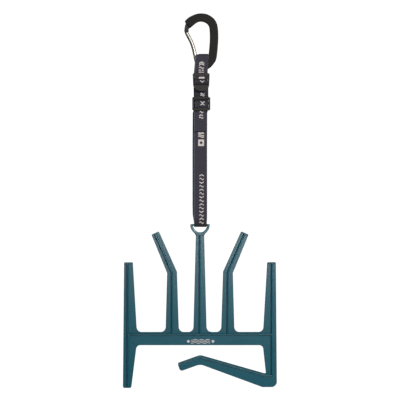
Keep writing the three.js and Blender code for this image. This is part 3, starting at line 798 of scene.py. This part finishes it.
def makeLadderLock(setup):
    x, half, top, rail = setup["x"], setup["half"], setup["top"], setup["rail"]
    inner = half - rail
    foot = setup["foot"]
    arch = [(x - half + 1, foot, 0), (x - half, top, 3.6), (x + half, top, 3.6),
            (x + half - 1, foot, 0), (x + inner - 1, foot, 0), (x + inner, top - 6.0, 1.4),
            (x - inner, top - 6.0, 1.4), (x - inner + 1, foot, 0)]
    shells = [plateShell(roundedOutline(arch), *setup["archDepth"], 0.9)]
    for side in (-1, 1):
        ends = sorted((x + side * (half - 0.2), x + side * inner))
        shell = plateShell(roundedOutline(setup["railSide"]), *ends, 0.8, side=True)
        shells.append(shifted(shell, lambda p, s=side: p + np.stack(
            [s * (p[:, 2] - top) / setup["railTaper"], p[:, 0] * 0, p[:, 0] * 0], 1)))
    for z in (webbing["bar"][1], webbing["middleBar"][1]):
        centres = np.array([[end, webbing["bar"][0], z] for end in (x - half + 2, x + half - 2)])
        across, deep = (np.array([way] * 2) * setup["barRadius"] for way in ([0, 0, 1.0], [0, 1.0, 0]))
        shells.append(sweptShell(centres, across, deep, *squaredCircle(1, 24)))
    turn = np.linspace(0, np.pi, 40)  # the tab is half an ellipse
    tabOutline = np.stack([x + setup["tabHalf"] * np.cos(turn),
                           setup["tabTop"] - setup["tabDrop"] * np.sin(turn) ** 0.9], 1)
    tab = plateShell(tabOutline, *setup["tabDepth"], 0.9)
    shells.append(shifted(tab, lambda p: p + np.stack(  # the tab's foot stands forward for the thumb
        [p[:, 0] * 0, (p[:, 2] - setup["tabHinge"]) * setup["tabLean"], p[:, 0] * 0], 1)))
    makePiece("ladderLock", shells, "nylon", "lock", ["ladder_lock"])


def makeKeeper(setup):
    x, half = setup["x"], setup["half"]
    top, bottom = setup["top"], setup["bottom"]
    left, right = x - half, x + half
    windowTop, windowBottom = top - setup["bar"] + 0.4, bottom + setup["bar"] + 0.4
    outer = roundedOutline([(left, top, 3.2), (right, top, 3.2), (right, bottom, 3.2),
                            (left, bottom, 3.2)])
    rail = setup["rail"]
    inner = roundedOutline([(left + rail, windowTop, 1), (right - rail, windowTop, 1),
                            (right - rail, windowBottom, 1), (left + rail, windowBottom, 1)])
    flat = np.zeros(len(outer))
    middle, reach = (outer + inner) / 2, (outer - inner) / 2
    centres = np.stack([middle[:, 0], flat + setup["face"], middle[:, 1]], 1)
    across = np.stack([reach[:, 0], flat, reach[:, 1]], 1)
    deep = np.stack([flat, flat + setup["faceHalf"], flat], 1)
    face = sweptShell(centres, across, deep, *squaredCircle(0.45, 24), closedPath=True)
    shells = [shifted(face, lambda p: p + np.stack(  # both bars slope in towards the window
        [p[:, 0] * 0, readOff(setup["bow"], p[:, 2]), p[:, 0] * 0], 1))]
    for side in (-1, 1):
        ends = sorted((x + side * half, x + side * (half - rail)))
        shells.append(plateShell(roundedOutline([
            (setup["sideFront"], top - 1.2, 1.0), (setup["sideFront"], bottom + 1.2, 1.0),
            (setup["back"], bottom + 1.2, 2.4), (setup["back"], top - 1.2, 2.4)]),
            *ends, 0.7, side=True))
    high, low = setup["middleBar"]
    shells.append(plateShell(roundedOutline([
        (left + 1, high, 0.6), (right - 1, high, 0.6), (right - 1, low, 0.6), (left + 1, low, 0.6)]),
        setup["middleFront"], setup["back"], 0.5))
    makePiece("strapKeeper", shells, "nylon", "keeper", ["strap_keeper"])


makeLadderLock(ladderLock)
makeKeeper(slideKeeper)
print("buckles made")


# ---- hanger moulding ----
hanger = {
    "plate": 2.0, "plateEdge": 0.7, "ribHalf": 1.0, "ribSlope": 0.9, "ribReach": 6.0,
    "capHalf": 1.25, "ringReach": 5.0, "flangeHalf": 1.3,
    "loopBar": {"half": 15.8, "radius": 2.0, "height": -386.8},
    "leftProngs": [(-144.1, -457.4, 2.2), (-127.7, -457.4, 2.2), (-120, -590, 9.6), (-65.4, -590, 9.6),
                   (-62.4, -478, 5), (-92.3, -405, 2.2), (-78.3, -398.6, 2.2), (-43.8, -475.6, 6),
                   (-40.1, -590, 9.6), (-12.7, -590, 9.6), (-7.9, -407, 0), (-11.6, -400.2, 0),
                   (-6.2, -402.6, 0), (0, -403.8, 0)],
    "rightLegAndSuitBar": [(146, -694.6, 10.4), (118.4, -694.6, 8), (0.5, -651.3, 20),
                           (-37.6, -664.8, 5), (-42.6, -650, 3), (0, -634.9, 16), (125.4, -670.4, 2.5),
                           (119.4, -615, 8)],
    "leftLeg": [(-120.4, -615, 8), (-130.6, -696.2, 3), (-146.4, -696.2, 3)],
    "ringLine": [(-16.3, -386.4), (-15.9, -389.5), (-14.8, -392.6), (-12.9, -396.0), (-9.8, -399.6),
                 (-6.2, -402.2), (-3.0, -403.3), (0, -403.6)],
    "ringHalf": [2.1, 2.3, 2.5, 2.6, 2.7, 2.8, 3.0, 3.0],
    "ribs": [[(-136.6, -459), (-136.6, -594)], [(-85, -403.4), (-53.1, -476.8), (-52.8, -594)],
             [(136.6, -459), (136.6, -594)], [(85, -403.4), (53.1, -476.8), (52.8, -594)],
             [(0, -405), (0, -594)], [(-138, -594), (138, -594)], [(-136.6, -594), (-136.6, -695.2)],
             [(136.6, -594), (136.6, -673)]],
    "caps": [[(-142.6, -458.8), (-129.2, -458.8)], [(129.2, -458.8), (142.6, -458.8)],
             [(-90.7, -405.7), (-79.3, -400.5)], [(79.3, -400.5), (90.7, -405.7)],
             [(-6.8, -405.2), (6.8, -405.2)]],
    "suitBar": [(-40.9, -651), (0, -636.3), (121, -670.9), (137.4, -671.8)],
}


# rib section: narrow walls that flare into the plate with a small root fillet, the same behind;
# the side away from the light also leans out by the slope on its way down to the plate
def ribSection(half, reach, plate, slope):
    side = np.array([(0.35, reach), (0.72, reach - 0.12), (0.93, reach - 0.5), (0.97, reach - 1.6),
                     (1.03, plate + 1.0), (1.2, plate + 0.45), (1.6, plate + 0.1), (1.9, plate - 0.2)])
    x, y = side[:, 0] * half, side[:, 1]
    far = -x - slope * (reach - y) / (reach - plate)
    return np.concatenate([x, x[::-1], far, far[::-1]]), np.concatenate([-y, y[::-1], y, -y[::-1]])


# a wall standing on a line of (x, z): the section's width lies in the plate, its height along Y
def wallShell(line, sectionX, sectionY):
    line = np.asarray(line, float)
    way = headings(line)
    flat = np.zeros(len(line))
    centres = np.stack([line[:, 0], flat, line[:, 1]], 1)
    across = np.stack([-way[:, 1], flat, way[:, 0]], 1)
    deep = np.stack([flat, flat + 1, flat], 1)
    return sweptShell(centres, across, deep, sectionX, sectionY)


# the line with its corners eased: straight runs kept, each corner replaced by an arc
def easedLine(points, radius):
    if len(points) < 3:
        return evenly(np.asarray(points, float), 12)[0]
    corners = [(a, b, radius) for a, b in points]
    inner = roundedOutline(corners, 8)
    return np.concatenate([[points[0]], inner[9:-9], [points[-1]]])


def mirrored(corners):
    return [(-corner[0], *corner[1:]) for corner in corners][::-1]


def makeHanger(setup):
    plate = setup["plate"]
    outline = roundedOutline([*setup["leftProngs"], *mirrored(setup["leftProngs"])[1:],
                              *setup["rightLegAndSuitBar"], *setup["leftLeg"]], 9)
    web = plateShell(outline, -plate, plate, setup["plateEdge"], 4)
    makePiece("hangerPlate", [web], "teal", "hanger", ["hanger_body"])
    section = ribSection(setup["ribHalf"], setup["ribReach"], plate, setup["ribSlope"])
    walls = [wallShell(easedLine(line, 6), *section) for line in setup["ribs"]]
    suitSection = ribSection(setup["flangeHalf"], setup["ribReach"], plate, setup["ribSlope"])
    walls.append(wallShell(easedLine(setup["suitBar"], 12), *suitSection))
    makePiece("hangerRibs", walls, "teal", "hanger")
    caps = []
    for line in setup["caps"]:
        ends = np.array([[a, 0, b] for a, b in line])
        way = (ends[1] - ends[0]) / np.linalg.norm(ends[1] - ends[0])
        across = np.array([-way[2], 0, way[0]]) * setup["capHalf"]
        caps.append(roundedBar(ends, across, (0, setup["ribReach"], 0), 0.9, 0.35))
    makePiece("prongCaps", caps, "teal", "hanger")
    left = smoothLine(setup["ringLine"], 5)
    width = smoothLine(np.array(setup["ringHalf"])[:, None], 5)[:, 0]
    line = np.concatenate([left, left[::-1][1:] * [-1, 1]])
    width = np.concatenate([width, width[::-1][1:]])
    way = headings(line)
    flat = np.zeros(len(line))
    across = np.stack([-way[:, 1] * width, flat, way[:, 0] * width], 1)
    deep = np.stack([flat, flat + setup["ringReach"], flat], 1)
    ring = roundedBar(np.stack([line[:, 0], flat, line[:, 1]], 1), across, deep, 1.6, 0.42, 28)
    half, radius, height = (setup["loopBar"][key] for key in ("half", "radius", "height"))
    bar = sweptShell(np.array([[-half, 0, height], [half, 0, height]]), np.array([[0, 0, radius]] * 2),
                     np.array([[0, radius, 0]] * 2), *squaredCircle(1, 24))
    makePiece("hangerLoop", [ring, bar], "teal", "hanger")


mouldDials = {
    "places": (-60.8, 61.7), "height": -584.7, "face": -2.0, "radius": 3.6, "wire": 0.6,
    "hub": [(0.02, -2.2), (0.7, -2.18), (0.9, -2.0), (0.9, -1.7), (0.02, -1.7)],
    "pointer": (1.4, 1.8), "pointerAcross": (0.2, 0, -0.2), "pointerDeep": (0, 0.25, 0),
}
crossbarFigure = {
    "ends": (-17, 19), "heights": (-604.6, -607.6, -610.6), "swell": 0.9, "pitch": 12,
    "lineHalf": (0.55, 0.08), "face": 2.03, "dots": (-22.0, 24.6), "dotHeight": -607.6,
    "dot": [(0.02, -2.1), (2.6, -2.1), (2.7, -2.04), (2.7, -1.9), (0.02, -1.9)],
}


# two moulding dials: a raised ring, a plain hub and one pointer each
def makeDials(setup):
    shells = []
    face, height, radius, wire = (setup[key] for key in ("face", "height", "radius", "wire"))
    pointX, pointZ = setup["pointer"]
    for x in setup["places"]:
        ring = arcLine(x, height, radius, 0, 2, 41)[:-1]
        flat = np.zeros(len(ring))
        out = (ring - [x, height]) / radius
        shells.append(sweptShell(
            np.stack([ring[:, 0], flat + face, ring[:, 1]], 1),
            np.stack([out[:, 0], flat, out[:, 1]], 1) * wire,
            np.stack([flat, flat + wire, flat], 1), *squaredCircle(1, 10), closedPath=True))
        shells.append(turnedShell(setup["hub"], x, height, 20))
        shells.append(roundedBar([(x, face, height), (x + pointX, face, height + pointZ)],
                                 setup["pointerAcross"], setup["pointerDeep"], 0.2))
    makePiece("mouldDials", shells, "teal", "hanger")


# the crossbar's printed figure: three waves between two dots
def makeCrossbarFigure(setup):
    shells = []
    section = [a * b for a, b in zip(squaredCircle(0.5, 12), setup["lineHalf"])]
    x = np.linspace(*setup["ends"], 60)
    for height in setup["heights"]:
        wave = np.stack([x, height + setup["swell"] * np.sin(x * 2 * np.pi / setup["pitch"])], 1)
        shells.append(wallShell(wave, *section))
        shells[-1]["points"][:, 1] -= setup["face"]
    for place in setup["dots"]:
        shells.append(turnedShell(setup["dot"], place, setup["dotHeight"], 40))
    makePiece("crossbarPrint", shells, "ink", "hanger")


makeHanger(hanger)
makeDials(mouldDials)
makeCrossbarFigure(crossbarFigure)
print("hanger made")


# ---- floor ----
def makeFloor(setup):
    half = setup["size"] / 2 / mm
    level = setup["height"] / mm
    square = [(-half, -half), (half, -half), (half, half), (-half, half)]
    board = plateShell(square, level - 20, level, 2, 2)
    board["points"] = board["points"][:, [0, 2, 1]]  # laid flat
    floor = makePiece("floor", [board], "board")


makeFloor(floorSetup)
